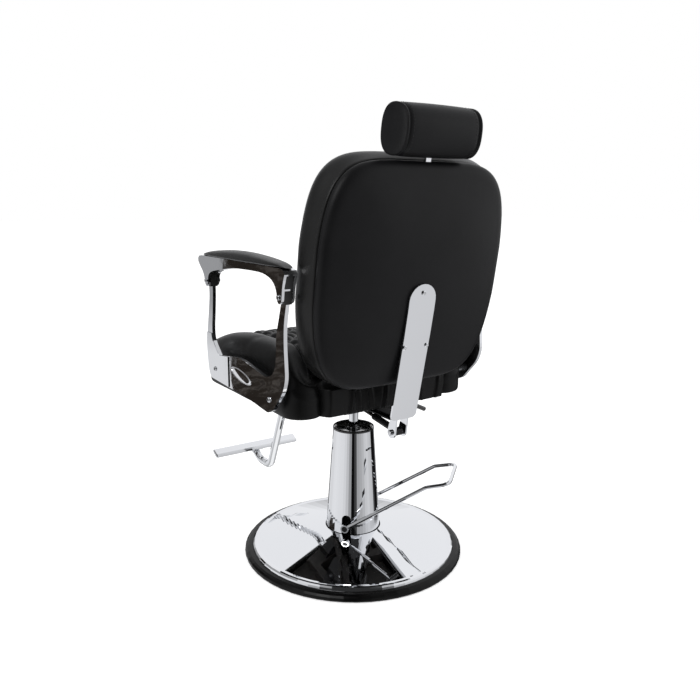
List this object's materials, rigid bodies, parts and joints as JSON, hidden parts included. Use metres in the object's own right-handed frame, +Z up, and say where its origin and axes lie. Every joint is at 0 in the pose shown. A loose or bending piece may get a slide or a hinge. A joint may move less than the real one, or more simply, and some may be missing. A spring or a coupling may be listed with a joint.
{
  "type": "hydraulic barber chair",
  "caption": "Barber chair with padded seat, reclining back and headrest, chrome arms, footrest, hydraulic column with foot pump lever and a round rubber-edged base.",
  "frame": {"origin": "centre of the base's underside, on the floor and on the column's axis", "axes": "+Z up, the sitter faces -Y, +X is the sitter's left"},
  "size_m": [0.646, 0.956, 1.1517],
  "materials": {
    "chrome": "mirror chrome plate",
    "steel": "bright zinc",
    "black_steel": "satin black paint",
    "leather": "black grained synthetic leather over foam",
    "padded_leather": "black grained coated-fabric leather, foam filled",
    "chrome_alloy": "mirror chrome plate on cast alloy",
    "black_plastic": "satin black",
    "rubber": "glossy black",
    "plywood": "bare wood"
  },
  "bodies": {
    "base": {"base_plate": "black_steel", "rubber_ring": "rubber", "base_dome": "chrome", "pump_body": "black_steel", "gland_nut": "steel", "column_cover": "chrome", "column_cap": "black_plastic"},
    "pump_lever": {"pump_lever": "chrome", "pump_shaft": "steel"},
    "piston": {"piston_rod": "chrome"},
    "back": {"back_frame": "black_steel", "back_panel": "padded_leather", "back_cushion": "padded_leather", "back_plate": "chrome", "plate_screw_top": "steel", "plate_screw_left": "steel", "plate_screw_right": "steel", "clevis_bolt": "steel"},
    "headrest": {"headrest_cushion": "padded_leather", "headrest_post": "chrome"},
    "recline_lever": {"recline_lever": "black_steel"},
    "strut_cylinder": {"strut_cylinder": "black_steel"},
    "strut_rod": {"strut_rod": "steel"},
    "seat": {"footrest_tube": "chrome", "footrest_bar": "chrome", "mount_bolt_front_left": "steel", "mount_bolt_front_right": "steel", "mount_bolt_rear_left": "steel", "mount_bolt_rear_right": "steel", "strut_pin": "steel", "fork_bolt_front_left": "steel", "fork_bolt_front_right": "steel", "fork_bolt_rear_left": "steel", "fork_bolt_rear_right": "steel", "arm_screw_front_left": "steel", "arm_screw_front_right": "steel", "arm_screw_rear_left": "steel", "arm_screw_rear_right": "steel", "hinge_pin_left": "steel", "hinge_pin_right": "steel", "recline_channel": "black_steel", "footrest_receiver": "black_steel", "hinge_bracket_left": "black_steel", "hinge_bracket_right": "black_steel", "seat_skirt": "leather", "rear_flap": "leather", "arm_pad_left": "leather", "arm_pad_right": "leather", "seat_cushion": "padded_leather", "arm_casting_left": "chrome_alloy", "arm_casting_right": "chrome_alloy", "arm_rail_left": "chrome_alloy", "arm_rail_right": "chrome_alloy", "fork_block_front_left": "black_plastic", "fork_block_front_right": "black_plastic", "fork_block_rear_left": "black_plastic", "fork_block_rear_right": "black_plastic", "seat_board": "plywood", "seat_frame": "plywood"}
  },
  "joints": [
    {"name": "lift", "type": "slide", "parent": "base", "child": "piston", "axis": [0, 0, 1], "range_m": [0, 0.15]},
    {"name": "swivel", "type": "hinge", "parent": "piston", "child": "seat", "pos_m": [0, 0, 0.39], "axis": [0, 0, 1], "continuous": true},
    {"name": "pump", "type": "hinge", "parent": "base", "child": "pump_lever", "pos_m": [0, 0, 0.088], "axis": [-0.7547, -0.6561, 0], "range_deg": [0, 24], "stiffness_Nm_per_rad": 6, "springref_deg": -28.65},
    {"name": "recline", "type": "hinge", "parent": "seat", "child": "back", "pos_m": [0, 0.146, 0.497], "axis": [-1, 0, 0], "range_deg": [0, 34]},
    {"name": "headrest_slide", "type": "slide", "parent": "back", "child": "headrest", "axis": [0, 0.1551, 0.9879], "range_m": [0, 0.1]},
    {"name": "recline_lever_turn", "type": "hinge", "parent": "seat", "child": "recline_lever", "pos_m": [-0.057, 0.05, 0.424], "axis": [0, 1, 0], "range_deg": [0, 11.5], "stiffness_Nm_per_rad": 1.5, "springref_deg": -22.92},
    {"name": "strut_swing", "type": "hinge", "parent": "back", "child": "strut_cylinder", "pos_m": [0, 0.192, 0.388], "axis": [1, 0, 0], "range_deg": [0, 30]},
    {"name": "strut_stroke", "type": "slide", "parent": "strut_cylinder", "child": "strut_rod", "axis": [0, -0.9908, 0.1355], "range_m": [-0.07, 0]}
  ],
  "couplings": [
    {"joint": "strut_swing", "follows": "recline", "ratio": 0.8685},
    {"joint": "strut_stroke", "follows": "recline", "m_per_rad": -0.1114}
  ]
}
